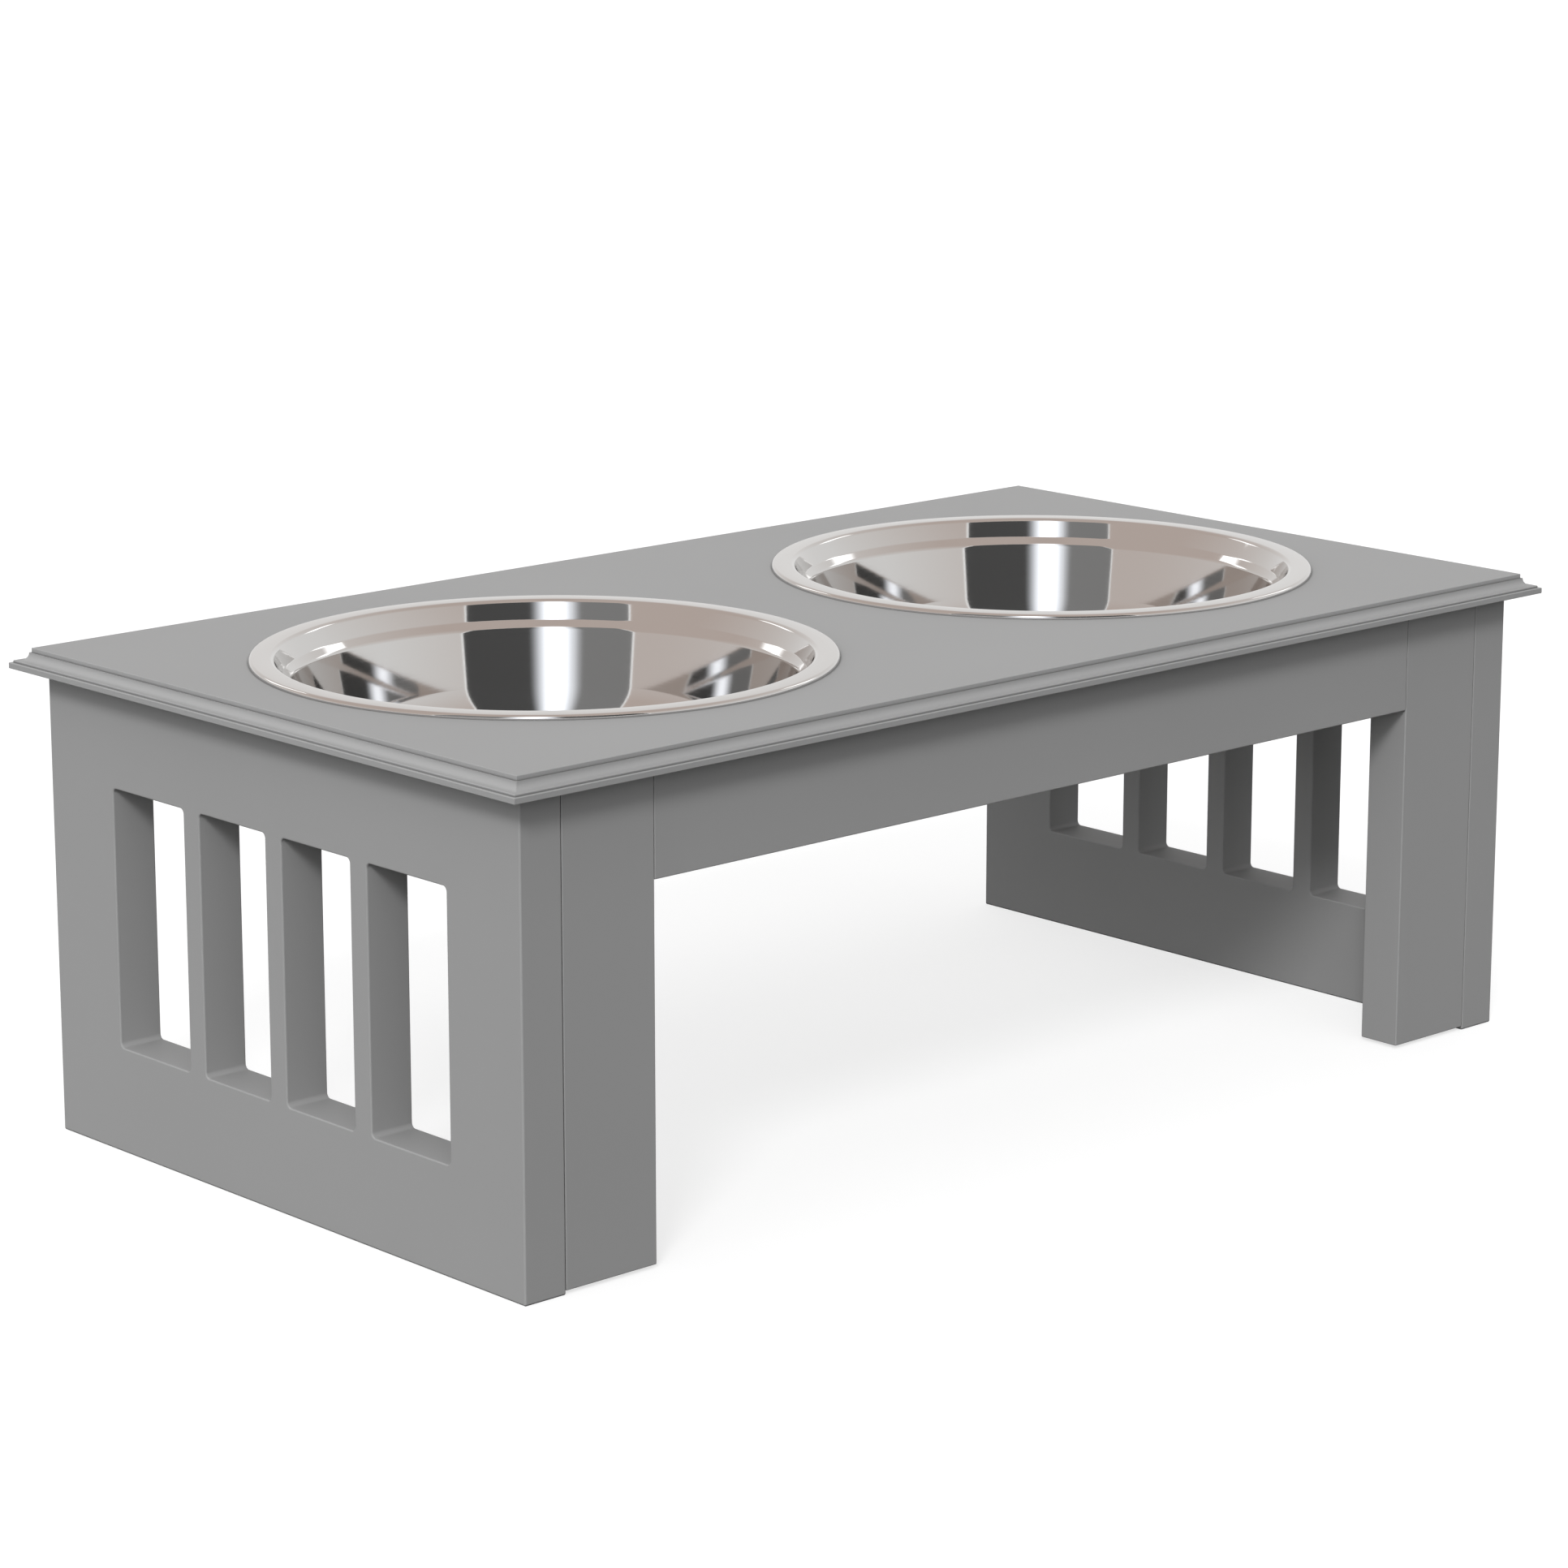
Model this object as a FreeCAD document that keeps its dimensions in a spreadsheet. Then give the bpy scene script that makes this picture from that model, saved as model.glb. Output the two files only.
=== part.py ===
"""Elevated feeder: a stand of painted boards that carries two lift-out steel bowls.

Sizes are in millimetres. X runs along the stand to the right, Y to the back and Z up.
The origin is on the floor, under the middle of the stand.
"""
import FreeCAD, Part
import math
import os
import Sketcher

DRIVING = {
    # Pressed steel bowl, its depths counted from the upper face of the top board
    "mouth_radius": 82.2,
    "rim_width": 7.5,
    "rim_rise": 1.5,
    "bowl_sheet": 0.8,
    "bowl_depth": 50.0,
    "band_depth": 4.65,
    "band_lean": 2.5,
    "shoulder_drop": 2.3,
    "shoulder_step": 2.0,
    "wall_lean": 8.4,
    "bottom_bend": 30.0,
    "shoulder_bend": 1.6,
    "mouth_bend": 1.6,
    "lip_bend": 1.1,
    # Room round the bowls
    "hole_clearance": 1.6,
    "rim_gap": 35.6,
    "hole_to_panel": 4.4,
    "hole_to_apron": 13.4,
    # Boards
    "board_thickness": 15.0,
    "panel_height": 147.5,
    "leg_width": 34.0,
    "leg_lift": 1.2,
    "apron_height": 32.5,
    "panel_round": 0.6,
    "post_round": 0.4,
    # Slots of the side panels
    "lower_rail": 33.7,
    "upper_rail": 32.1,
    "slat_width": 7.9,
    "inner_slot": 32.5,
    "outer_slot": 36.1,
    "slot_corner": 1.6,
    "slot_round": 0.5,
    # Top board and the moulding round its edge, from the upper face down
    "top_thickness": 6.5,
    "overhang": 8.5,
    "edge_step": 1.45,
    "edge_ledge": 0.6,
    "cove_height": 2.45,
    "cove_width": 3.5,
    "cove_bend": 2.3,
    "bead_step": 0.72,
    "bead_ledge": 1.0,
    "arris_round": 0.25,
    # Dowels and their glued bores
    "dowel_radius": 3.0,
    "dowel_reach": 15.0,
    "dowel_inset": 8.5,
    "bore_clearance": 0.05,
    "bore_slack": 0.5,
    "panel_skin": 5.0,
    # Cam bolts and cam locks
    "bolt_radius": 3.0,
    "bolt_clearance": 0.25,
    "neck_radius": 2.0,
    "neck_length": 3.0,
    "head_radius": 3.2,
    "head_length": 4.0,
    "head_clearance": 0.4,
    "cam_radius": 7.5,
    "cam_skin": 3.0,
    "cam_wall": 2.5,
    "cam_rise": 33.0,
    "cam_drop": 20.0,
    "rail_cam_drop": 10.5,
    # Corner blocks and their screws
    "block_width": 15.0,
    "block_length": 30.0,
    "block_height": 18.0,
    "screw_spread": 8.0,
    "screw_radius": 1.75,
    "screw_head_radius": 3.5,
    "screw_head_height": 2.4,
    "top_skin": 2.0,
    # Cross recess in the cam locks and screw heads
    "recess_arm": 2.2,
    "recess_width": 1.1,
    "recess_depth": 1.4,
}

WORKED_OUT = {
    # Bowl, as radii and as levels under the upper face of the top board
    "rim_radius": "=Sizes.mouth_radius + Sizes.rim_width",
    "band_radius": "=Sizes.mouth_radius - Sizes.band_lean",
    "shoulder_radius": "=band_radius - Sizes.shoulder_step",
    "shoulder_level": "=-Sizes.band_depth - Sizes.shoulder_drop",
    "bottom_radius": "=shoulder_radius - Sizes.wall_lean",
    "hole_radius": "=Sizes.mouth_radius + Sizes.bowl_sheet + Sizes.hole_clearance",
    # Distances from the middle of the stand, along X and then along Y
    "bowl_centre": "=rim_radius + Sizes.rim_gap / 2",
    "panel_inner": "=bowl_centre + hole_radius + Sizes.hole_to_panel",
    "panel_outer": "=panel_inner + Sizes.board_thickness",
    "half_length": "=panel_outer + Sizes.overhang",
    "leg_inner": "=panel_inner - Sizes.leg_width",
    "cam_centre": "=leg_inner + Sizes.cam_wall + Sizes.cam_radius",
    "block_inner": "=panel_inner - Sizes.block_width",
    "apron_inner": "=hole_radius + Sizes.hole_to_apron",
    "board_middle": "=apron_inner + Sizes.board_thickness / 2",
    "front_face": "=apron_inner + Sizes.board_thickness",
    "half_depth": "=front_face + Sizes.overhang",
    "block_middle": "=apron_inner - Sizes.block_length / 2",
    # Levels above the floor
    "top_face": "=Sizes.panel_height + Sizes.top_thickness",
    "apron_bottom": "=Sizes.panel_height - Sizes.apron_height",
    "block_bottom": "=Sizes.panel_height - Sizes.block_height",
    "low_cam": "=Sizes.leg_lift + Sizes.cam_rise",
    "high_cam": "=apron_bottom - Sizes.cam_drop",
    "rail_cam": "=Sizes.panel_height - Sizes.rail_cam_drop",
    "low_dowel": "=low_cam / 2",
    "high_dowel": "=(low_cam + high_cam) / 2",
    "rail_dowel": "=apron_bottom + Sizes.dowel_inset",
    "apron_dowel": "=Sizes.panel_height - Sizes.dowel_inset",
    "slot_top": "=Sizes.panel_height - Sizes.upper_rail",
    # Depths
    "panel_bite": "=Sizes.board_thickness - Sizes.panel_skin",
    "cam_height": "=Sizes.board_thickness - Sizes.cam_skin",
    "top_bite": "=Sizes.top_thickness - Sizes.top_skin",
}

# Two places closer than this count as the same
NEAR = 0.0001

doc = FreeCAD.newDocument("elevated_feeder")


def add_sheet(name, cells):
    """Add a sheet with one named cell to a row."""
    sheet = doc.addObject("Spreadsheet::Sheet", name)
    for row, (alias, content) in enumerate(cells.items(), start=1):
        sheet.set(f"A{row}", alias)
        sheet.set(f"B{row}", str(content))
        sheet.setAlias(f"B{row}", alias)
    doc.recompute()
    return sheet


add_sheet("Sizes", DRIVING)
places = add_sheet("Places", WORKED_OUT)


def amount(expression):
    """The number that an expression stands for now."""
    return float(places.evalExpression(expression))


def new_body(label):
    """Add an empty body, which may hold several separate solids."""
    body = doc.addObject("PartDesign::Body", label)
    body.AllowCompound = True
    return body


def sketch_on(body, plane, offset):
    """Add a sketch on one of the body's own planes, moved along the plane's normal."""
    sketch = body.newObject("Sketcher::SketchObject", body.Label + "_sketch")
    support = [item for item in body.Origin.OriginFeatures if item.Role == plane]
    sketch.AttachmentSupport = [(support[0], "")]
    sketch.MapMode = "FlatFace"
    sketch.setExpression("AttachmentOffset.Base.z", offset)
    return sketch


def bind(sketch, constraint, expression):
    """Add a constraint whose size is an expression."""
    index = sketch.addConstraint(constraint)
    sketch.setExpression(f"Constraints[{index}]", expression)


def pin(sketch, item, end, across, up):
    """Hold a point of the sketch at a place, on the sketch's own axes where a coordinate is zero."""
    origin, horizontal, vertical = (-1, 1), -1, -2
    if across == "0":
        sketch.addConstraint(Sketcher.Constraint("PointOnObject", item, end, vertical))
    else:
        bind(sketch, Sketcher.Constraint("DistanceX", *origin, item, end, amount(across)), across)
    if up == "0":
        sketch.addConstraint(Sketcher.Constraint("PointOnObject", item, end, horizontal))
    else:
        bind(sketch, Sketcher.Constraint("DistanceY", *origin, item, end, amount(up)), up)


def outline(sketch, corners):
    """Draw a closed outline through corners (across, up) or (across, up, bend), all of them expressions."""
    spots = [FreeCAD.Vector(amount(corner[0]), amount(corner[1]), 0) for corner in corners]
    bends = [amount(corner[2]) if len(corner) > 2 else 0 for corner in corners]
    arrivals = []
    departures = []
    for index, spot in enumerate(spots):
        back = (spots[index - 1] - spot).normalize()
        ahead = (spots[(index + 1) % len(spots)] - spot).normalize()
        inset = bends[index] / math.tan(back.getAngle(ahead) / 2)
        arrivals.append(spot + back * inset)
        departures.append(spot + ahead * inset)
    sides = []
    for index, departure in enumerate(departures):
        arrival = arrivals[(index + 1) % len(spots)]
        sides.append(sketch.addGeometry(Part.LineSegment(departure, arrival)))
    for index, (spot, bend) in enumerate(zip(spots, bends)):
        before, after = sides[index - 1], sides[index]
        across, up = corners[index][:2]
        if bend:
            vertex = sketch.addGeometry(Part.Point(spot), True)
            pin(sketch, vertex, 1, across, up)
            for side in (before, after):
                sketch.addConstraint(Sketcher.Constraint("PointOnObject", vertex, 1, side))
            round_corner(sketch, before, after, arrivals[index], departures[index], spot, corners[index][2])
        else:
            sketch.addConstraint(Sketcher.Constraint("Coincident", before, 2, after, 1))
            pin(sketch, after, 1, across, up)


def round_corner(sketch, before, after, arrival, departure, spot, bend):
    """Join two sides of an outline by an arc that touches both."""
    radius = amount(bend)
    inward = ((arrival + departure) / 2 - spot).normalize()
    half_chord = (departure - arrival).Length / 2
    to_chord = math.sqrt((arrival - spot).Length ** 2 - half_chord ** 2)
    chord_to_centre = math.sqrt(radius ** 2 - half_chord ** 2)
    centre = spot + inward * (to_chord + chord_to_centre)
    leftward = (spot - arrival).cross(departure - spot).z > 0
    first, last = (arrival, departure) if leftward else (departure, arrival)
    angles = [math.atan2((point - centre).y, (point - centre).x) for point in (first, last)]
    circle = Part.Circle(centre, FreeCAD.Vector(0, 0, 1), radius)
    arc = sketch.addGeometry(Part.ArcOfCircle(circle, *angles))
    arrival_end, departure_end = (1, 2) if leftward else (2, 1)
    sketch.addConstraint(Sketcher.Constraint("Tangent", before, 2, arc, arrival_end))
    sketch.addConstraint(Sketcher.Constraint("Tangent", after, 1, arc, departure_end))
    bind(sketch, Sketcher.Constraint("Radius", arc, radius), bend)


def rectangle(sketch, left, right, bottom, top, *bend):
    """Draw an upright rectangle, with its corners rounded if a bend is given."""
    outline(sketch, [(left, bottom, *bend), (right, bottom, *bend), (right, top, *bend), (left, top, *bend)])


def circles(sketch, centres, radius):
    """Draw one circle of the same radius round each centre."""
    for across, up in centres:
        spot = FreeCAD.Vector(amount(across), amount(up), 0)
        circle = sketch.addGeometry(Part.Circle(spot, FreeCAD.Vector(0, 0, 1), amount(radius)))
        pin(sketch, circle, 3, across, up)
        bind(sketch, Sketcher.Constraint("Radius", circle, amount(radius)), radius)


def crosses(sketch, centres):
    """Draw the outline of a cross recess round each centre."""
    wide, slim = "Sizes.recess_arm", "Sizes.recess_width / 2"
    turns = [(1, 1), (-1, 1), (-1, -1), (1, -1)]
    for across, up in centres:
        corners = []
        for number, (right, high) in enumerate(turns):
            arms = [(wide, slim), (slim, slim), (slim, wide)]
            for arm_across, arm_up in arms if number % 2 == 0 else reversed(arms):
                corners.append((f"{across} + {right} * {arm_across}", f"{up} + {high} * {arm_up}"))
        outline(sketch, corners)


def add(body, sketch, length, reverse=False):
    """Pad a sketch along its normal, or against it."""
    pad = body.newObject("PartDesign::Pad", body.Label + "_pad")
    pad.Profile = sketch
    pad.setExpression("Length", length)
    pad.Reversed = reverse
    doc.recompute()


def cut(body, sketch, depth, reverse=False):
    """Cut a sketch into the body against its normal, or along it, and make sure that it cuts."""
    before = body.Shape.Volume
    pocket = body.newObject("PartDesign::Pocket", body.Label + "_pocket")
    pocket.Profile = sketch
    pocket.setExpression("Length", depth)
    pocket.Reversed = reverse
    doc.recompute()
    if not body.Shape.Volume < before:
        raise ValueError(f"{pocket.Label} cuts nothing")


def round_edges(body, radius, test):
    """Round the edges whose middle points pass a test."""
    base = body.Tip
    edges = enumerate(base.Shape.Edges, start=1)
    chosen = [f"Edge{number}" for number, edge in edges if test(edge.CenterOfMass)]
    fillet = body.newObject("PartDesign::Fillet", body.Label + "_fillet")
    fillet.Base = (base, chosen)
    fillet.setExpression("Radius", radius)
    doc.recompute()


def below(level):
    """A test for edges that lie under a level."""
    return lambda middle: middle.z < amount(level) - NEAR


def mirror(source, label):
    """Add the right-hand twin of a left-hand piece."""
    twin = doc.addObject("Part::Mirroring", label)
    twin.Source = source
    twin.Normal = FreeCAD.Vector(1, 0, 0)
    return twin


def both_sides(source, label):
    """Group the left-hand pieces of a kind with their right-hand twins."""
    group = doc.addObject("Part::Compound", label)
    group.Links = [source, mirror(source, label + "_right")]
    return group


# Places of the fasteners on the left-hand side panel, as (Y, Z)
LEG_BOLTS = [("-Places.board_middle", "Places.low_cam"), ("-Places.board_middle", "Places.high_cam")]
RAIL_BOLTS = [("Places.board_middle", "Places.rail_cam")]
LEG_DOWELS = [("-Places.board_middle", "Places.low_dowel"), ("-Places.board_middle", "Places.high_dowel")]
RAIL_DOWELS = [("Places.board_middle", "Places.rail_dowel")]
APRON_DOWELS = [("-Places.board_middle", "Places.rail_dowel"), ("-Places.board_middle", "Places.apron_dowel")]
BLOCK_LEVEL = "(Places.block_bottom + Sizes.block_height / 2)"

# Bore sizes that the boards share with what goes into them
DOWEL_BORE = "Sizes.dowel_radius + Sizes.bore_clearance"
PANEL_BORE_DEPTH = "Places.panel_bite + Sizes.bore_slack"
DOWEL_BORE_DEPTH = "Sizes.dowel_reach + Sizes.bore_slack"
SCREW_BORE = "Sizes.screw_radius + Sizes.bore_clearance"
CAM_BORE = "Sizes.cam_radius + Sizes.bore_clearance"
CAM_BORE_DEPTH = "Places.cam_height + Sizes.bore_slack"
BOLT_BORE = "Sizes.bolt_radius + Sizes.bolt_clearance"
BOLT_BORE_DEPTH = "Places.panel_inner - Places.cam_centre"


def side_screw_spots(sign):
    """Where the screw into the side panel crosses a corner block, at the front (-1) or the back (1)."""
    return [(f"{sign} * (Places.block_middle + Sizes.screw_spread)", BLOCK_LEVEL)]


def top_screw_spots(sign):
    """Where the screw into the top board rises through a left-hand corner block."""
    across = "-(Places.block_inner + Sizes.block_width / 2)"
    return [(across, f"{sign} * (Places.block_middle - Sizes.screw_spread)")]


def bowl(label):
    """Pressed bowl: flat bottom, straight leaning wall, shoulder, leaning band, flat rim, turned-down lip."""
    body = new_body(label)
    sketch = sketch_on(body, "XZ_Plane", "0")
    mouth, rim, rise = "Sizes.mouth_radius", "Places.rim_radius", "Sizes.rim_rise"
    band, shoulder = "Places.band_radius", "Places.shoulder_radius"
    bottom, sheet = "Places.bottom_radius", "Sizes.bowl_sheet"
    inside = [
        ("0", f"{sheet} - Sizes.bowl_depth"),
        (bottom, f"{sheet} - Sizes.bowl_depth", "Sizes.bottom_bend"),
        (shoulder, "Places.shoulder_level", f"Sizes.shoulder_bend + {sheet}"),
        (band, "-Sizes.band_depth", "Sizes.shoulder_bend"),
        (mouth, rise, "Sizes.mouth_bend"),
        (rim, rise, "Sizes.lip_bend"),
        (rim, "0"),
    ]
    outside = [
        (f"{rim} - {sheet}", "0"),
        (f"{rim} - {sheet}", f"{rise} - {sheet}", f"Sizes.lip_bend - {sheet}"),
        (f"{mouth} + {sheet}", f"{rise} - {sheet}", f"Sizes.mouth_bend - {sheet}"),
        (f"{band} + {sheet}", "-Sizes.band_depth", f"Sizes.shoulder_bend + {sheet}"),
        (f"{shoulder} + {sheet}", "Places.shoulder_level", "Sizes.shoulder_bend"),
        (f"{bottom} + {sheet}", "-Sizes.bowl_depth", f"Sizes.bottom_bend + {sheet}"),
        ("0", "-Sizes.bowl_depth"),
    ]
    outline(sketch, inside + outside)
    turned = body.newObject("PartDesign::Revolution", label + "_turned")
    turned.Profile = sketch
    turned.ReferenceAxis = (sketch, ["V_Axis"])
    body.setExpression("Placement.Base.x", "-Places.bowl_centre")
    body.setExpression("Placement.Base.z", "Places.top_face")
    doc.recompute()
    return body


def moulded_bar(label, plane, half_width, half_run):
    """A bar with the moulded section of the top board, as wide as the board and longer than it."""
    body = new_body(label)
    run = f"({half_run} + Sizes.overhang)"
    sketch = sketch_on(body, plane, run)
    top, arris = "Places.top_face", "Sizes.arris_round"
    cove_top = f"{top} - Sizes.edge_step"
    cove_bottom = f"{cove_top} - Sizes.cove_height"
    bead_top = f"{cove_bottom} - Sizes.bead_step"
    bead_edge = f"{half_width} - Sizes.bead_ledge"
    cove_wall = f"{bead_edge} - Sizes.cove_width"
    top_edge = f"{cove_wall} - Sizes.edge_ledge"
    right = [
        (half_width, "Sizes.panel_height", arris),
        (half_width, bead_top, arris),
        (bead_edge, bead_top),
        (bead_edge, cove_bottom, arris),
        (cove_wall, cove_bottom, "Sizes.cove_bend"),
        (cove_wall, cove_top),
        (top_edge, cove_top),
        (top_edge, top, arris),
    ]
    left = [(f"-({corner[0]})", *corner[1:]) for corner in reversed(right)]
    outline(sketch, right + left)
    add(body, sketch, f"2 * {run}", reverse=True)
    return body


def drill(label, radius, bottom, height, spots):
    """Upright cylinders that stand for drilled holes."""
    drills = []
    for across, along in spots:
        cylinder = doc.addObject("Part::Cylinder", label)
        cylinder.setExpression("Radius", radius)
        cylinder.setExpression("Height", height)
        cylinder.setExpression("Placement.Base.x", across)
        cylinder.setExpression("Placement.Base.y", along)
        cylinder.setExpression("Placement.Base.z", bottom)
        drills.append(cylinder)
    return drills


def top_board(label):
    """Board with a mitred moulding on its four edges, two bowl holes and blind holes for the block screws."""
    blank = doc.addObject("Part::Common", label + "_blank")
    blank.Base = moulded_bar(label + "_section", "XZ_Plane", "Places.half_length", "Places.half_depth")
    blank.Tool = moulded_bar(label + "_end_section", "YZ_Plane", "Places.half_depth", "Places.half_length")
    bowl_spots = [("-Places.bowl_centre", "0"), ("Places.bowl_centre", "0")]
    left_spots = top_screw_spots(-1) + top_screw_spots(1)
    screw_spots = left_spots + [(f"-({across})", along) for across, along in left_spots]
    holes = drill("bowl_hole", "Places.hole_radius", "Sizes.panel_height", "Sizes.top_thickness", bowl_spots)
    pilots = drill("pilot_hole", SCREW_BORE, "Sizes.panel_height", "Places.top_bite", screw_spots)
    drills = doc.addObject("Part::Compound", label + "_holes")
    drills.Links = holes + pilots
    board = doc.addObject("Part::Cut", label)
    board.Base = blank
    board.Tool = drills
    doc.recompute()
    return board


def side_panel(label):
    """Left-hand end of the stand: one board with four upright slots and blind bores in its inner face."""
    body = new_body(label)
    board = sketch_on(body, "YZ_Plane", "-Places.panel_outer")
    rectangle(board, "-Places.front_face", "Places.front_face", "0", "Sizes.panel_height")
    add(body, board, "Sizes.board_thickness")
    round_edges(body, "Sizes.panel_round", below("Sizes.panel_height"))

    slots = sketch_on(body, "YZ_Plane", "-Places.panel_outer")
    inner_start = "Sizes.slat_width / 2"
    inner_end = f"{inner_start} + Sizes.inner_slot"
    outer_start = f"{inner_end} + Sizes.slat_width"
    outer_end = f"{outer_start} + Sizes.outer_slot"
    for start, end in ((inner_start, inner_end), (outer_start, outer_end)):
        for left, right in ((start, end), (f"-({end})", f"-({start})")):
            rectangle(slots, left, right, "Sizes.lower_rail", "Places.slot_top", "Sizes.slot_corner")
    cut(body, slots, "Sizes.board_thickness", reverse=True)
    reach = amount(outer_end)
    faces = (-amount("Places.panel_outer"), -amount("Places.panel_inner"))
    low, high = amount("Sizes.lower_rail"), amount("Places.slot_top")

    def on_slot_rim(middle):
        on_face = min(abs(middle.x - face) for face in faces) < NEAR
        return on_face and abs(middle.y) < reach + NEAR and low - NEAR < middle.z < high + NEAR

    round_edges(body, "Sizes.slot_round", on_slot_rim)

    bores = (
        (LEG_BOLTS + RAIL_BOLTS, "Sizes.bolt_radius + Sizes.bore_clearance"),
        (LEG_DOWELS + RAIL_DOWELS, DOWEL_BORE),
        (side_screw_spots(-1) + side_screw_spots(1), SCREW_BORE),
    )
    for spots, radius in bores:
        sketch = sketch_on(body, "YZ_Plane", "-Places.panel_inner")
        circles(sketch, spots, radius)
        cut(body, sketch, PANEL_BORE_DEPTH)
    return body


def leg(label):
    """Left-hand front post, bored for two cam locks and the dowels on both its edges."""
    body = new_body(label)
    post = sketch_on(body, "XZ_Plane", "Places.front_face")
    rectangle(post, "-Places.panel_inner", "-Places.leg_inner", "Sizes.leg_lift", "Sizes.panel_height")
    add(body, post, "Sizes.board_thickness", reverse=True)
    round_edges(body, "Sizes.post_round", below("Sizes.panel_height"))

    cams = sketch_on(body, "XZ_Plane", "Places.apron_inner")
    circles(cams, [("-Places.cam_centre", level) for _, level in LEG_BOLTS], CAM_BORE)
    cut(body, cams, CAM_BORE_DEPTH, reverse=True)
    bolts = sketch_on(body, "YZ_Plane", "-Places.panel_inner")
    circles(bolts, LEG_BOLTS, BOLT_BORE)
    cut(body, bolts, BOLT_BORE_DEPTH, reverse=True)
    dowels = sketch_on(body, "YZ_Plane", "-Places.panel_inner")
    circles(dowels, LEG_DOWELS, DOWEL_BORE)
    cut(body, dowels, DOWEL_BORE_DEPTH, reverse=True)
    apron_side = sketch_on(body, "YZ_Plane", "-Places.leg_inner")
    circles(apron_side, APRON_DOWELS, DOWEL_BORE)
    cut(body, apron_side, DOWEL_BORE_DEPTH)
    return body


def bore_ends(body, reach, spots, radius, depth):
    """Bore both ends of a long board along X."""
    for sign, inward in (("-", True), ("", False)):
        sketch = sketch_on(body, "YZ_Plane", f"{sign}{reach}")
        circles(sketch, spots, radius)
        cut(body, sketch, depth, reverse=inward)


def front_apron(label):
    """Board between the legs, flush with them and doweled into both."""
    body = new_body(label)
    board = sketch_on(body, "XZ_Plane", "Places.front_face")
    rectangle(board, "-Places.leg_inner", "Places.leg_inner", "Places.apron_bottom", "Sizes.panel_height")
    add(body, board, "Sizes.board_thickness", reverse=True)
    round_edges(body, "Sizes.post_round", below("Sizes.panel_height"))
    bore_ends(body, "Places.leg_inner", APRON_DOWELS, DOWEL_BORE, DOWEL_BORE_DEPTH)
    return body


def back_rail(label):
    """Board between the side panels at the back, held at each end by a cam lock and a dowel."""
    body = new_body(label)
    board = sketch_on(body, "XZ_Plane", "-Places.front_face")
    rectangle(board, "-Places.panel_inner", "Places.panel_inner", "Places.apron_bottom", "Sizes.panel_height")
    add(body, board, "Sizes.board_thickness")
    round_edges(body, "Sizes.post_round", below("Sizes.panel_height"))
    cams = sketch_on(body, "XZ_Plane", "-Places.apron_inner")
    circles(cams, [(f"{sign}Places.cam_centre", "Places.rail_cam") for sign in ("-", "")], CAM_BORE)
    cut(body, cams, CAM_BORE_DEPTH)
    bore_ends(body, "Places.panel_inner", RAIL_BOLTS, BOLT_BORE, BOLT_BORE_DEPTH)
    bore_ends(body, "Places.panel_inner", RAIL_DOWELS, DOWEL_BORE, DOWEL_BORE_DEPTH)
    return body


def corner_block(label, sign):
    """Block under the top board in a left-hand corner, at the front (-1) or the back (1)."""
    body = new_body(label)
    plan = sketch_on(body, "XY_Plane", "Places.block_bottom")
    at_board = f"{sign} * Places.apron_inner"
    at_bowl = f"{sign} * (Places.apron_inner - Sizes.block_length)"
    rectangle(plan, "-Places.panel_inner", "-Places.block_inner", *sorted((at_board, at_bowl), key=amount))
    add(body, plan, "Sizes.block_height")
    upright = sketch_on(body, "XY_Plane", "Sizes.panel_height")
    circles(upright, top_screw_spots(sign), SCREW_BORE)
    cut(body, upright, "Sizes.block_height")
    level = sketch_on(body, "YZ_Plane", "-Places.block_inner")
    circles(level, side_screw_spots(sign), SCREW_BORE)
    cut(body, level, "Sizes.block_width")
    return body


def rods(label, spots, start, length):
    """Left-hand dowels that run along X from a start."""
    body = new_body(label)
    sketch = sketch_on(body, "YZ_Plane", start)
    circles(sketch, spots, "Sizes.dowel_radius")
    add(body, sketch, length)
    return body


def cam_bolts(label):
    """Left-hand bolts: a shank screwed into the side panel, then a neck and a head inside the cam lock."""
    body = new_body(label)
    spots = LEG_BOLTS + RAIL_BOLTS
    start = "-(Places.panel_inner + Places.panel_bite)"
    head_start = "-(Places.cam_centre + Sizes.head_length / 2)"
    neck_start = f"{head_start} - Sizes.neck_length"
    stretches = (
        (start, "Sizes.bolt_radius", f"{neck_start} - ({start})"),
        (neck_start, "Sizes.neck_radius", "Sizes.neck_length"),
        (head_start, "Sizes.head_radius", "Sizes.head_length"),
    )
    for place, radius, length in stretches:
        sketch = sketch_on(body, "YZ_Plane", place)
        circles(sketch, spots, radius)
        add(body, sketch, length)
    return body


def cam_locks(label):
    """Left-hand cam locks: round bodies with a hollow for the bolt's head and a cross recess in the face."""
    body = new_body(label)
    leg_cams = [("-Places.cam_centre", level) for _, level in LEG_BOLTS]
    rail_cams = [("-Places.cam_centre", level) for _, level in RAIL_BOLTS]
    rows = ((leg_cams, "Places.apron_inner", False), (rail_cams, "-Places.apron_inner", True))
    for spots, face, backward in rows:
        sketch = sketch_on(body, "XZ_Plane", face)
        circles(sketch, spots, "Sizes.cam_radius")
        add(body, sketch, "Places.cam_height", reverse=backward)
    hollow = sketch_on(body, "YZ_Plane", "-(Places.cam_centre + Sizes.cam_radius)")
    circles(hollow, LEG_BOLTS + RAIL_BOLTS, "Sizes.head_radius + Sizes.head_clearance")
    cut(body, hollow, "Sizes.cam_radius + Sizes.head_length / 2 + Sizes.head_clearance", reverse=True)
    for spots, face, backward in rows:
        sketch = sketch_on(body, "XZ_Plane", face)
        crosses(sketch, spots)
        cut(body, sketch, "Sizes.recess_depth", reverse=not backward)
    return body


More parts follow.
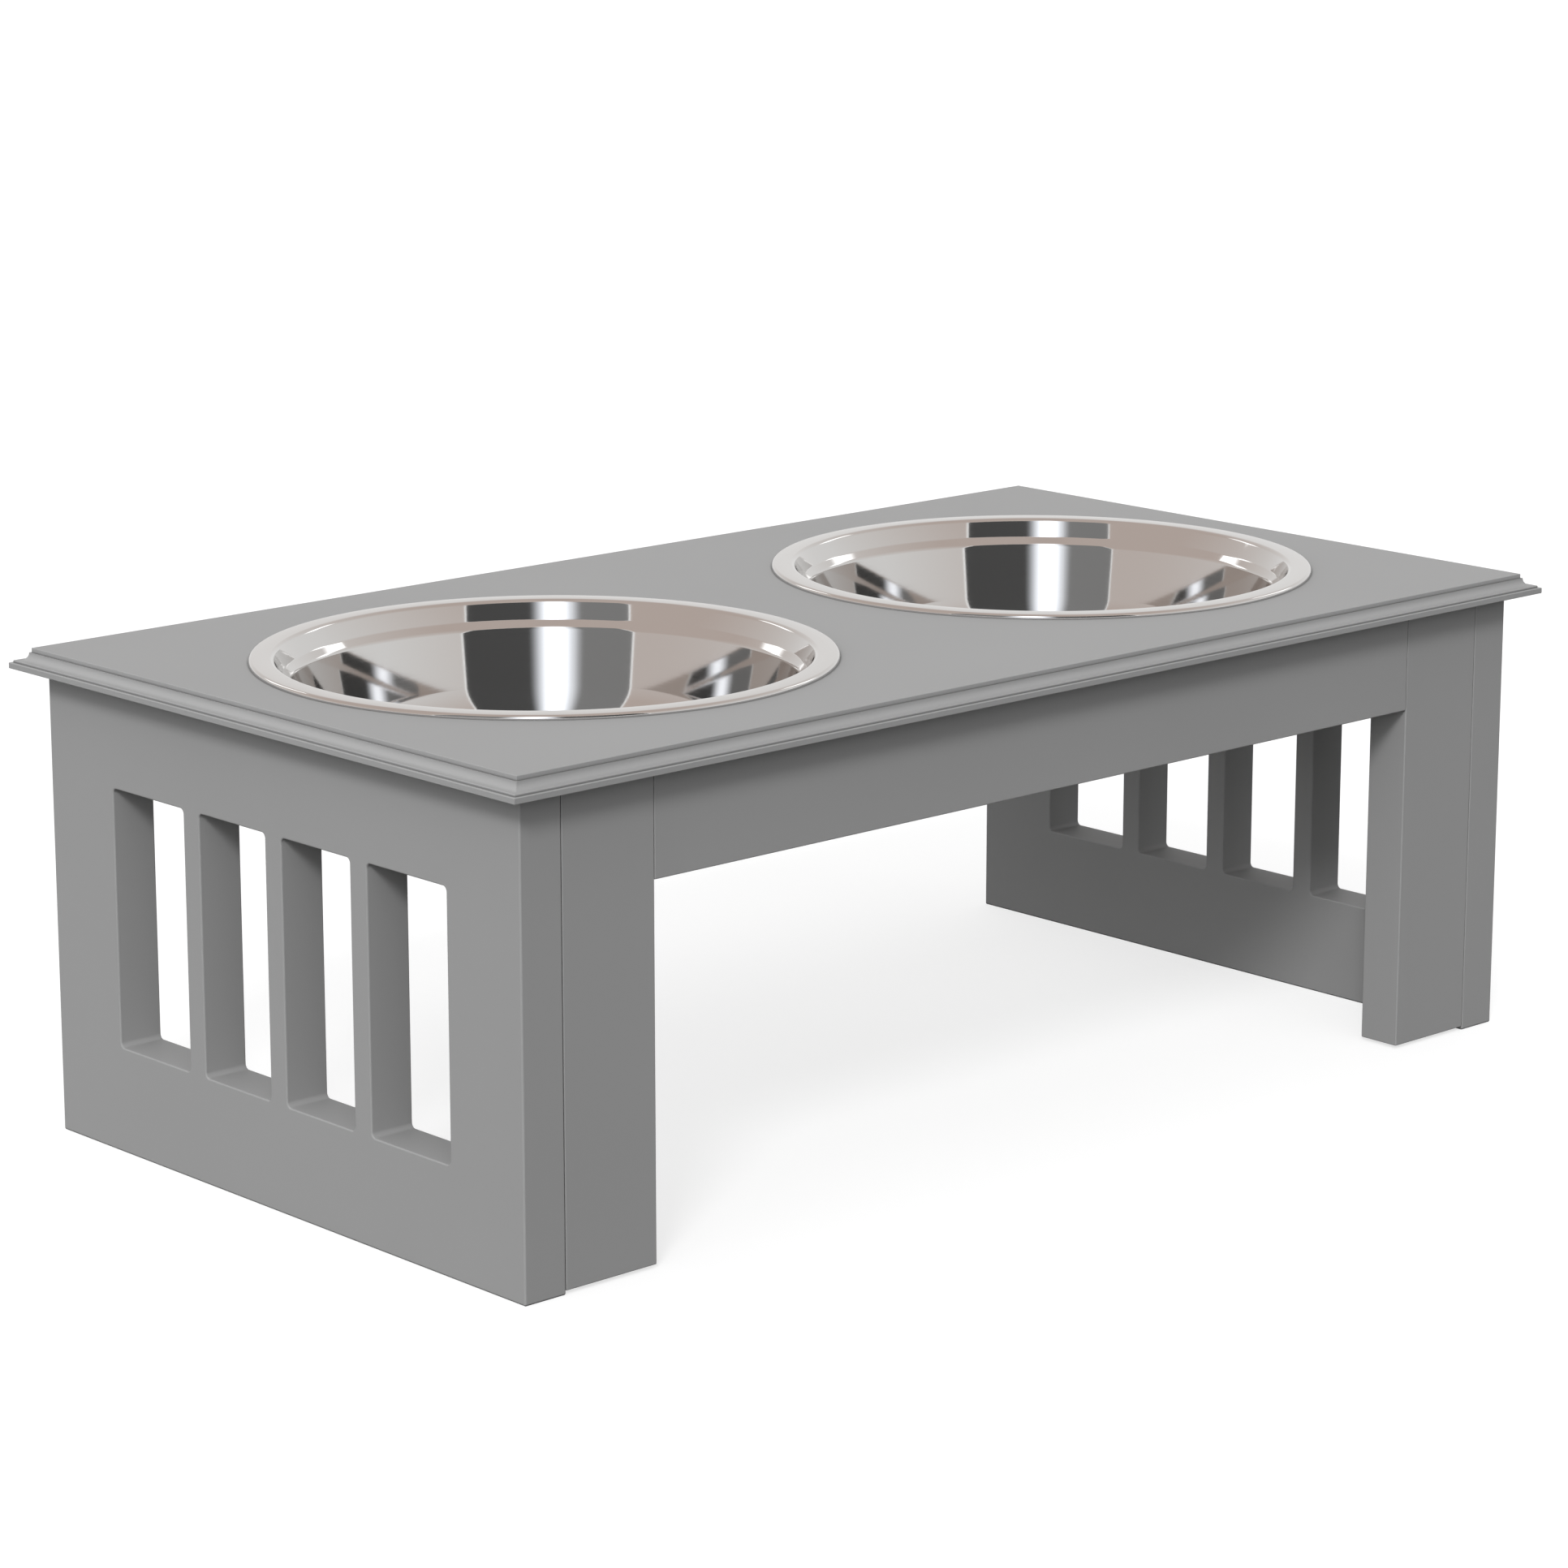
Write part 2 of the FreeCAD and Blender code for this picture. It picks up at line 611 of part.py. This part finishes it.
def screws(label, plane, seat, spots, length, upward):
    """Left-hand pan-head screws with their heads on a plane, pointing along its normal or against it."""
    body = new_body(label)
    shank = sketch_on(body, plane, seat)
    circles(shank, spots, "Sizes.screw_radius")
    add(body, shank, length, reverse=not upward)
    head = sketch_on(body, plane, seat)
    circles(head, spots, "Sizes.screw_head_radius")
    add(body, head, "Sizes.screw_head_height", reverse=upward)
    face = f"{seat} - Sizes.screw_head_height" if upward else f"{seat} + Sizes.screw_head_height"
    recess = sketch_on(body, plane, face)
    crosses(recess, spots)
    cut(body, recess, "Sizes.recess_depth", reverse=upward)
    return body


left_bowl = bowl("left_bowl")
left_panel = side_panel("left_side_panel")
left_leg = leg("left_leg")
front_block = corner_block("front_left_block", -1)
back_block = corner_block("back_left_block", 1)

apron_rods = rods("left_apron_dowels", APRON_DOWELS, "-(Places.leg_inner + Sizes.dowel_reach)",
                  "2 * Sizes.dowel_reach")
panel_rods = rods("left_panel_dowels", LEG_DOWELS + RAIL_DOWELS, "-(Places.panel_inner + Places.panel_bite)",
                  "Places.panel_bite + Sizes.dowel_reach")
block_spots = top_screw_spots(-1) + top_screw_spots(1)
upright_screws = screws("left_top_screws", "XY_Plane", "Places.block_bottom", block_spots,
                        "Sizes.block_height + Places.top_bite", upward=True)
panel_spots = side_screw_spots(-1) + side_screw_spots(1)
level_screws = screws("left_side_screws", "YZ_Plane", "-Places.block_inner", panel_spots,
                      "Sizes.block_width + Places.panel_bite", upward=False)

pieces = [
    top_board("top_board"),
    left_panel,
    mirror(left_panel, "right_side_panel"),
    left_leg,
    mirror(left_leg, "right_leg"),
    front_apron("front_apron"),
    back_rail("back_rail"),
    front_block,
    mirror(front_block, "front_right_block"),
    back_block,
    mirror(back_block, "back_right_block"),
    left_bowl,
    mirror(left_bowl, "right_bowl"),
    both_sides(apron_rods, "apron_dowels"),
    both_sides(panel_rods, "panel_dowels"),
    both_sides(cam_bolts("left_cam_bolts"), "cam_bolts"),
    both_sides(cam_locks("left_cam_locks"), "cam_locks"),
    both_sides(upright_screws, "top_screws"),
    both_sides(level_screws, "side_screws"),
]
doc.recompute()

failed = [item.Label for item in doc.Objects if {"Invalid", "Error"} & set(item.State)]
if failed:
    raise ValueError(f"these objects failed: {failed}")
for piece in pieces:
    if piece.Shape.isNull() or not piece.Shape.isValid():
        raise ValueError(f"{piece.Label} has no valid shape")

os.makedirs("parts", exist_ok=True)
for piece in pieces:
    piece.Shape.exportStep(f"parts/{piece.Label}.step")
    box = piece.Shape.BoundBox
    print(f"{piece.Label}: {len(piece.Shape.Solids)} solids, {piece.Shape.Volume:.0f} mm3, "
          f"{box.XLength:.1f} x {box.YLength:.1f} x {box.ZLength:.1f}")
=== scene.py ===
"""Looks of the elevated feeder: satin grey boards, polished steel bowls, bare wood and plated hardware.

Lengths are in metres, in the frame of the solids: X along the stand, Y to the back, Z up from the floor.
"""
import math

import bmesh
import bpy
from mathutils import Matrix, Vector


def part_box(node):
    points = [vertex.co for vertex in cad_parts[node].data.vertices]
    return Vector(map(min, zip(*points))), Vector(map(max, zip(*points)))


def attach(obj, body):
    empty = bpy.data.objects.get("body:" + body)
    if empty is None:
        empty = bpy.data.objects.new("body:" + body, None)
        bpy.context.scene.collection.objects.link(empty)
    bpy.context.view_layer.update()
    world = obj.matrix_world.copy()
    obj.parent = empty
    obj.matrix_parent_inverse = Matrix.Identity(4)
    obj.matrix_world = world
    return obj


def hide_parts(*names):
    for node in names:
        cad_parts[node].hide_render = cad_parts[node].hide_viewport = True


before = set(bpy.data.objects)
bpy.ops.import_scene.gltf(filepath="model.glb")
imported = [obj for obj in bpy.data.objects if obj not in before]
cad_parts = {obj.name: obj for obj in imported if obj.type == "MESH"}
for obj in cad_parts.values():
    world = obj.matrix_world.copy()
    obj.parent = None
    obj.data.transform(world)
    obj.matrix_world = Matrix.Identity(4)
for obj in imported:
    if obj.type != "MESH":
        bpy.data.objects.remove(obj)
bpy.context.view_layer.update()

MM = 0.001

# Bowl sizes that its solid doesn't give by itself, as drawn on the inner face of the sheet
SHEET = 0.8 * MM
RIM_WIDTH = 7.5 * MM
RIM_RISE = 1.5 * MM
BAND_DEPTH = 4.65 * MM
BAND_LEAN = 2.5 * MM
SHOULDER_DROP = 2.3 * MM
SHOULDER_STEP = 2.0 * MM
WALL_LEAN = 8.4 * MM
BOTTOM_BEND = 30.0 * MM
SHOULDER_BEND = 1.6 * MM
MOUTH_BEND = 1.6 * MM
LIP_BEND = 1.1 * MM

# How finely the bowl's mesh is cut
BOWL_STEPS = 256
LARGE_BEND_SEGMENTS = 20
SMALL_BEND_SEGMENTS = 8
MERGE_DISTANCE = 0.001 * MM
SHARP_EDGE = math.radians(50)

# Camera, at the photograph's angle
CAMERA_PLACE = Vector((-1.025, -1.102, 0.454))
CAMERA_TURN = math.radians(-42.68)
CAMERA_TILT = math.radians(13.35)
LENS_MM = 110.6

# Lamps: where the light comes from, and how strong and how wide it is
KEY_FROM = Vector((-0.63, -0.48, 0.61))
KEY_STRENGTH = 1.52
KEY_SPREAD = math.radians(13)
TOP_FROM = Vector((0.0, 0.0, 1.0))
TOP_STRENGTH = 0.5
TOP_SPREAD = math.radians(40)

# Surroundings: light from two sides on the object, and the direction of the warm room
BRIGHT_SIDE = Vector((-0.82, -0.57, 0.0))
BRIGHT_AMBIENT = 1.92
DIM_AMBIENT = 0.12
BACK_SIDE = Vector((0.38, 0.925, 0.0))
BACK_AMBIENT = 1.4
ROOM_TURN = math.radians(-50)
ROOM_RISE = math.radians(70)

# Floor, and the cards that the bowls mirror
FLOOR_SIZE = 40.0
FLOOR_GLOW = 0.7
CARD_DISTANCE = 1.9
DOORWAY_BOTTOM = 0.39
DOORWAY_TOP = 2.30


def linear(colour):
    """Turn an sRGB hex value into linear red, green, blue and alpha."""
    parts = [int(colour[start:start + 2], 16) / 255 for start in (0, 2, 4)]
    curve = [part / 12.92 if part <= 0.04045 else ((part + 0.055) / 1.055) ** 2.4 for part in parts]
    return (*curve, 1.0)


def add_node(tree, kind, inputs=None, **settings):
    """Add a node, give it its settings, and fill its sockets with values or with other nodes' outputs."""
    node = tree.nodes.new(kind)
    for name, value in settings.items():
        setattr(node, name, value)
    for name, value in (inputs or {}).items():
        if isinstance(value, bpy.types.NodeSocket):
            tree.links.new(value, node.inputs[name])
        else:
            node.inputs[name].default_value = value
    return node


def blend(tree, share, first, second):
    """Mix two colours by the share of the second, and return the output that holds the result."""
    return add_node(tree, "ShaderNodeMix", {0: share, 6: first, 7: second}, data_type="RGBA").outputs[2]


def empty_material(name):
    """Add a material whose tree holds only its output, and return the material, its tree and that output."""
    material = bpy.data.materials.new(name)
    material.use_nodes = True
    tree = material.node_tree
    tree.nodes.clear()
    return material, tree, tree.nodes.new("ShaderNodeOutputMaterial")


def add_object(name, data):
    """Put a mesh, lamp or camera into the scene as an object."""
    item = bpy.data.objects.new(name, data)
    bpy.context.scene.collection.objects.link(item)
    return item


def finished_mesh(name, shape):
    """Turn a shape that is ready into a mesh."""
    mesh = bpy.data.meshes.new(name)
    shape.to_mesh(mesh)
    shape.free()
    return mesh


def satin_lacquer():
    """Fibreboard sprayed with satin grey lacquer.

    The eye gets an even neutral grey with a low broad sheen, a trace of spray texture, slow drifts in tone,
    and painted shade: thin dark lines, from ambient occlusion, in the board joints and the moulding's steps.
    """
    drift_size, peel_size, peel_height, painted_shade_reach = 70 * MM, 1.8 * MM, 0.012 * MM, 1.2 * MM
    material, tree, output = empty_material("satin_grey_lacquer_on_fibreboard")
    place = add_node(tree, "ShaderNodeTexCoord").outputs["Object"]
    drift = add_node(tree, "ShaderNodeTexNoise", {"Vector": place, "Scale": 1 / drift_size, "Detail": 2.0})
    grey = blend(tree, drift.outputs["Fac"], linear("949494"), linear("989898"))
    # Painted shade: the grey darkens towards 303030 where ambient occlusion finds a joint or a crease
    open_air = add_node(tree, "ShaderNodeAmbientOcclusion", {"Distance": painted_shade_reach}, samples=8)
    painted_crease_shade = add_node(tree, "ShaderNodeMapRange",
                      {"Value": open_air.outputs["AO"], "From Min": 0.3, "From Max": 0.85, "To Min": 0.05})
    peel = add_node(tree, "ShaderNodeTexNoise", {"Vector": place, "Scale": 1 / peel_size, "Detail": 2.0})
    gloss = add_node(tree, "ShaderNodeMapRange",
                     {"Value": drift.outputs["Fac"], "To Min": 0.46, "To Max": 0.54})
    bump = add_node(tree, "ShaderNodeBump",
                    {"Height": peel.outputs["Fac"], "Distance": peel_height, "Strength": 0.6})
    surface = add_node(tree, "ShaderNodeBsdfPrincipled", {
        "Base Color": blend(tree, painted_crease_shade.outputs["Result"], linear("303030"), grey),
        "Roughness": gloss.outputs["Result"], "IOR": 1.5, "Specular IOR Level": 0.02,
        "Normal": bump.outputs["Normal"]})
    tree.links.new(surface.outputs["BSDF"], output.inputs["Surface"])
    return material


def polished_steel(centre):
    """Pressed stainless steel, polished on a lathe.

    The eye gets a bright mirror, slightly softened by fine rings round the bowl's axis.
    """
    ring_spacing, ring_height = 0.6 * MM, 0.0006 * MM
    material, tree, output = empty_material("polished_stainless_steel")
    place = add_node(tree, "ShaderNodeTexCoord").outputs["Object"]
    moved = add_node(tree, "ShaderNodeMapping", {"Vector": place, "Location": (-centre.x, -centre.y, 0.0)})
    split = add_node(tree, "ShaderNodeSeparateXYZ", {"Vector": moved.outputs["Vector"]})
    flat = add_node(tree, "ShaderNodeCombineXYZ", {"X": split.outputs["X"], "Y": split.outputs["Y"]})
    reach = add_node(tree, "ShaderNodeVectorMath", {0: flat.outputs["Vector"]}, operation="LENGTH")
    section = add_node(tree, "ShaderNodeCombineXYZ", {"X": reach.outputs["Value"], "Y": split.outputs["Z"]})
    rings = add_node(tree, "ShaderNodeTexNoise",
                     {"Vector": section.outputs["Vector"], "Scale": 1 / ring_spacing, "Detail": 3.0},
                     noise_dimensions="2D")
    gloss = add_node(tree, "ShaderNodeMapRange",
                     {"Value": rings.outputs["Fac"], "To Min": 0.04, "To Max": 0.08})
    bump = add_node(tree, "ShaderNodeBump",
                    {"Height": rings.outputs["Fac"], "Distance": ring_height, "Strength": 0.5})
    surface = add_node(tree, "ShaderNodeBsdfPrincipled", {
        "Base Color": linear("D2D1D0"), "Metallic": 1.0, "Roughness": gloss.outputs["Result"],
        "Normal": bump.outputs["Normal"]})
    tree.links.new(surface.outputs["BSDF"], output.inputs["Surface"])
    return material


def bare_wood(name, pale, dark, along):
    """Planed or turned wood without any finish.

    The eye gets fine straight fibres along one axis, paler and darker streaks, and a dull surface.
    """
    fibre_length, fibre_width, fibre_height = 45 * MM, 0.8 * MM, 0.03 * MM
    material, tree, output = empty_material(name)
    place = add_node(tree, "ShaderNodeTexCoord").outputs["Object"]
    stretch = [1 / fibre_length if axis == along else 1 / fibre_width for axis in "XYZ"]
    drawn = add_node(tree, "ShaderNodeMapping", {"Vector": place, "Scale": stretch})
    fibres = add_node(tree, "ShaderNodeTexNoise",
                      {"Vector": drawn.outputs["Vector"], "Scale": 1.0, "Detail": 4.0})
    streaks = add_node(tree, "ShaderNodeMapRange",
                       {"Value": fibres.outputs["Fac"], "From Min": 0.3, "From Max": 0.7})
    bump = add_node(tree, "ShaderNodeBump",
                    {"Height": fibres.outputs["Fac"], "Distance": fibre_height, "Strength": 0.5})
    surface = add_node(tree, "ShaderNodeBsdfPrincipled", {
        "Base Color": blend(tree, streaks.outputs["Result"], linear(pale), linear(dark)),
        "Roughness": 0.7, "IOR": 1.5, "Specular IOR Level": 0.3, "Normal": bump.outputs["Normal"]})
    tree.links.new(surface.outputs["BSDF"], output.inputs["Surface"])
    return material


def zinc_metal(name, tone, smoothest, roughest):
    """Cast zinc, or steel with a coat of zinc.

    The eye gets a dull silvery metal whose gloss and tone change in small clouds.
    """
    cloud_size, cloud_height = 1.5 * MM, 0.01 * MM
    material, tree, output = empty_material(name)
    place = add_node(tree, "ShaderNodeTexCoord").outputs["Object"]
    clouds = add_node(tree, "ShaderNodeTexNoise", {"Vector": place, "Scale": 1 / cloud_size, "Detail": 3.0})
    gloss = add_node(tree, "ShaderNodeMapRange",
                     {"Value": clouds.outputs["Fac"], "To Min": smoothest, "To Max": roughest})
    bump = add_node(tree, "ShaderNodeBump",
                    {"Height": clouds.outputs["Fac"], "Distance": cloud_height, "Strength": 0.4})
    surface = add_node(tree, "ShaderNodeBsdfPrincipled", {
        "Base Color": blend(tree, clouds.outputs["Fac"], linear(tone), linear("B4B2AA")),
        "Metallic": 1.0, "Roughness": gloss.outputs["Result"], "Normal": bump.outputs["Normal"]})
    tree.links.new(surface.outputs["BSDF"], output.inputs["Surface"])
    return material


def bowl_profile(low, high):
    """Corners of half a bowl from its middle out to its lip: distance from the axis, height and bend."""
    rim = (high.x - low.x) / 2
    top = high.z - RIM_RISE
    mouth = rim - RIM_WIDTH
    band = mouth - BAND_LEAN
    shoulder = band - SHOULDER_STEP
    return (
        (0.0, low.z + SHEET, 0.0),
        (shoulder - WALL_LEAN, low.z + SHEET, BOTTOM_BEND),
        (shoulder, top - BAND_DEPTH - SHOULDER_DROP, SHOULDER_BEND + SHEET),
        (band, top - BAND_DEPTH, SHOULDER_BEND),
        (mouth, high.z, MOUTH_BEND),
        (rim, high.z, LIP_BEND),
        (rim, top, 0.0),
    )


def bowl(name, node):
    """Pressed bowl in place of its solid: flat bottom, leaning wall, shoulder, band, and rim with a lip."""
    low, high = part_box(node)
    centre = (low + high) / 2
    corners = bowl_profile(low, high)
    shape = bmesh.new()
    points = [shape.verts.new((across, 0.0, up)) for across, up, _ in corners]
    for first, second in zip(points, points[1:]):
        shape.edges.new((first, second))
    insets = []
    for index in range(1, len(points) - 1):
        back = points[index - 1].co - points[index].co
        ahead = points[index + 1].co - points[index].co
        insets.append(corners[index][2] / math.tan(back.angle(ahead) / 2))
    for point, inset, (_, _, bend) in zip(points[1:-1], insets, corners[1:-1]):
        segments = LARGE_BEND_SEGMENTS if bend >= BOTTOM_BEND else SMALL_BEND_SEGMENTS
        bmesh.ops.bevel(shape, geom=[point], offset=inset, segments=segments, profile=0.5, affect="VERTICES",
                        material=-1)
    bmesh.ops.spin(shape, geom=list(shape.verts) + list(shape.edges), cent=(0, 0, 0), axis=(0, 0, 1),
                   angle=2 * math.pi, steps=BOWL_STEPS, use_merge=True)
    bmesh.ops.remove_doubles(shape, verts=list(shape.verts), dist=MERGE_DISTANCE)
    bmesh.ops.recalc_face_normals(shape, faces=list(shape.faces))
    bmesh.ops.solidify(shape, geom=list(shape.faces), thickness=SHEET)
    bmesh.ops.translate(shape, verts=list(shape.verts), vec=(centre.x, centre.y, 0.0))
    mesh = finished_mesh(name, shape)
    mesh.shade_smooth()
    mesh.set_sharp_from_angle(angle=SHARP_EDGE)
    mesh.materials.append(polished_steel(centre))
    piece = add_object(name, mesh)
    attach(piece, node)
    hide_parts(node)


def dress(names, material):
    """Give the solids of these nodes a finish."""
    for name in names:
        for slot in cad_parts[name].material_slots:
            slot.material = material


def seen_in_shine(tree):
    """One for a ray that comes by way of a shiny or clear surface, otherwise nothing."""
    path = add_node(tree, "ShaderNodeLightPath").outputs
    return add_node(tree, "ShaderNodeMath", {0: path["Is Glossy Ray"], 1: path["Is Transmission Ray"]},
                    operation="MAXIMUM").outputs["Value"]


def seen_at_all(tree):
    """One for a ray that comes from the camera or by way of a shiny or clear surface, otherwise nothing."""
    path = add_node(tree, "ShaderNodeLightPath").outputs
    return add_node(tree, "ShaderNodeMath", {0: path["Is Camera Ray"], 1: seen_in_shine(tree)},
                    operation="MAXIMUM").outputs["Value"]


def studio_floor():
    """White floor that keeps a pale shadow and throws back little light."""
    shape = bmesh.new()
    bmesh.ops.create_grid(shape, x_segments=1, y_segments=1, size=FLOOR_SIZE / 2)
    mesh = finished_mesh("studio_floor", shape)
    floor = add_object("studio_floor", mesh)
    material, tree, output = empty_material("white_paper")
    dull = add_node(tree, "ShaderNodeBsdfDiffuse", {"Color": linear("404040")})
    paper = add_node(tree, "ShaderNodeBsdfDiffuse", {"Color": linear("9E9E9E")})
    glow = add_node(tree, "ShaderNodeEmission", {"Color": linear("FFFFFF"), "Strength": FLOOR_GLOW})
    white = add_node(tree, "ShaderNodeAddShader", {0: paper.outputs["BSDF"], 1: glow.outputs["Emission"]})
    both = add_node(tree, "ShaderNodeMixShader",
                    {0: seen_at_all(tree), 1: dull.outputs["BSDF"], 2: white.outputs["Shader"]})
    tree.links.new(both.outputs["Shader"], output.inputs["Surface"])
    mesh.materials.append(material)


def reflected_card(name, width, bottom, top, turn, distance, colour, strength, soft_edge=0.0):
    """Upright card that only shiny surfaces see, turned round the stand from the camera's side, in degrees."""
    shape = bmesh.new()
    bmesh.ops.create_grid(shape, x_segments=1, y_segments=1, size=0.5)
    bmesh.ops.scale(shape, verts=list(shape.verts), vec=(width, top - bottom, 1.0))
    mesh = finished_mesh(name, shape)
    card = add_object(name, mesh)
    heading = CAMERA_TURN + math.radians(turn)
    card.location = (distance * math.sin(heading), -distance * math.cos(heading), (bottom + top) / 2)
    card.rotation_euler = (math.radians(90), 0.0, heading)
    material, tree, output = empty_material(name)
    light = add_node(tree, "ShaderNodeEmission", {"Color": linear(colour), "Strength": strength})
    surface = light.outputs["Emission"]
    if soft_edge:
        place = add_node(tree, "ShaderNodeTexCoord").outputs["Object"]
        across = add_node(tree, "ShaderNodeSeparateXYZ", {"Vector": place}).outputs["X"]
        reach = add_node(tree, "ShaderNodeMath", {0: across}, operation="ABSOLUTE").outputs["Value"]
        cover = add_node(tree, "ShaderNodeMapRange",
                         {"Value": reach, "From Min": width / 2 - soft_edge, "From Max": width / 2,
                          "To Min": 1.0, "To Max": 0.0}, interpolation_type="SMOOTHSTEP")
        clear = add_node(tree, "ShaderNodeBsdfTransparent").outputs["BSDF"]
        surface = add_node(tree, "ShaderNodeMixShader",
                           {0: cover.outputs["Result"], 1: clear, 2: surface}).outputs["Shader"]
    tree.links.new(surface, output.inputs["Surface"])
    mesh.materials.append(material)
    card.visible_camera = False
    card.visible_diffuse = False
    card.visible_shadow = False
    card.visible_transmission = False


def studio_surroundings():
    """White all round for the camera, uneven light on the object, and a warm room that the bowls mirror."""
    world = bpy.data.worlds.new("white_studio")
    bpy.context.scene.world = world
    world.use_nodes = True
    tree = world.node_tree
    tree.nodes.clear()
    heading = CAMERA_TURN + ROOM_TURN
    level = math.cos(ROOM_RISE)
    room = Vector((level * math.sin(heading), -level * math.cos(heading), math.sin(ROOM_RISE)))
    way = add_node(tree, "ShaderNodeTexCoord").outputs["Generated"]
    facing = add_node(tree, "ShaderNodeVectorMath", {0: way, 1: room}, operation="DOT_PRODUCT")
    warmth = add_node(tree, "ShaderNodeMapRange",
                      {"Value": facing.outputs["Value"], "From Min": -0.1, "From Max": 0.7})
    mirrored = blend(tree, warmth.outputs["Result"], linear("F3F2F1"), linear("D0C2BA"))
    beside = add_node(tree, "ShaderNodeVectorMath", {0: way, 1: BRIGHT_SIDE}, operation="DOT_PRODUCT")
    ambient = add_node(tree, "ShaderNodeMapRange",
                       {"Value": beside.outputs["Value"], "To Min": DIM_AMBIENT, "To Max": BRIGHT_AMBIENT})
    behind = add_node(tree, "ShaderNodeVectorMath", {0: way, 1: BACK_SIDE}, operation="DOT_PRODUCT")
    far_side = add_node(tree, "ShaderNodeMapRange",
                        {"Value": behind.outputs["Value"], "To Max": BACK_AMBIENT})
    around = add_node(tree, "ShaderNodeMath", {0: ambient.outputs["Result"], 1: far_side.outputs["Result"]})
    strength = add_node(tree, "ShaderNodeMapRange",
                        {"Value": seen_at_all(tree), "To Min": around.outputs["Value"], "To Max": 1.0})
    light = add_node(tree, "ShaderNodeBackground", {
        "Color": blend(tree, seen_in_shine(tree), linear("FFFFFF"), mirrored),
        "Strength": strength.outputs["Result"]})
    output = tree.nodes.new("ShaderNodeOutputWorld")
    tree.links.new(light.outputs["Background"], output.inputs["Surface"])


def soft_lamp(name, came_from, strength, spread):
    """Distant lamp that shiny surfaces don't mirror."""
    light = bpy.data.lights.new(name, "SUN")
    light.energy = strength
    light.angle = spread
    lamp = add_object(name, light)
    lamp.rotation_euler = came_from.to_track_quat("Z", "Y").to_euler()
    lamp.visible_glossy = False


def studio_light():
    """Soft lamps at the front left and overhead, and the cards that the bowls mirror.

    A nearer card covers those behind it.
    """
    soft_lamp("key_lamp", KEY_FROM, KEY_STRENGTH, KEY_SPREAD)
    soft_lamp("top_lamp", TOP_FROM, TOP_STRENGTH, TOP_SPREAD)
    reflected_card("pale_frame", width=3.26, bottom=0.33, top=2.38, turn=0, distance=CARD_DISTANCE + 0.02,
                   colour="FFFFFF", strength=1.2)
    reflected_card("dark_doorway", width=3.11, bottom=DOORWAY_BOTTOM, top=DOORWAY_TOP, turn=0,
                   distance=CARD_DISTANCE, colour="525252", strength=1.0)
    reflected_card("grey_curtain", width=0.90, bottom=DOORWAY_BOTTOM, top=DOORWAY_TOP, turn=-26,
                   distance=CARD_DISTANCE - 0.05, colour="8E8E8E", strength=1.0)
    reflected_card("bright_window", width=0.84, bottom=0.32, top=2.95, turn=-4.9,
                   distance=CARD_DISTANCE - 0.1, colour="F4F8FF", strength=2.4, soft_edge=0.40)
    for name, turn in (("left_softbox", -132), ("right_softbox", 130)):
        reflected_card(name, width=0.50, bottom=0.75, top=1.60, turn=turn, distance=CARD_DISTANCE,
                       colour="FFFFFF", strength=2.0, soft_edge=0.15)


def photo_camera():
    """Camera at the photograph's angle."""
    lens = bpy.data.cameras.new("camera")
    lens.lens = LENS_MM
    camera = add_object("camera", lens)
    camera.location = CAMERA_PLACE
    camera.rotation_euler = (math.radians(90) - CAMERA_TILT, 0.0, CAMERA_TURN)
    bpy.context.scene.camera = camera


bpy.context.scene.view_settings.view_transform = "Standard"
photo_camera()
studio_floor()
studio_surroundings()
studio_light()

for side in ("left", "right"):
    bowl(f"{side}_steel_bowl", f"{side}_bowl")

dress(["top_board", "left_side_panel", "right_side_panel", "left_leg", "right_leg", "front_apron",
       "back_rail"], satin_lacquer())
dress(["front_left_block", "front_right_block", "back_left_block", "back_right_block"],
      bare_wood("bare_pine", pale="D6B583", dark="BD945C", along="Y"))
dress(["apron_dowels", "panel_dowels"], bare_wood("bare_beech", pale="D8B78C", dark="C49D70", along="X"))
dress(["cam_locks"], zinc_metal("die_cast_zinc", tone="94979C", smoothest=0.42, roughest=0.58))
dress(["cam_bolts", "top_screws", "side_screws"],
      zinc_metal("zinc_plated_steel", tone="C9C5B4", smoothest=0.25, roughest=0.4))
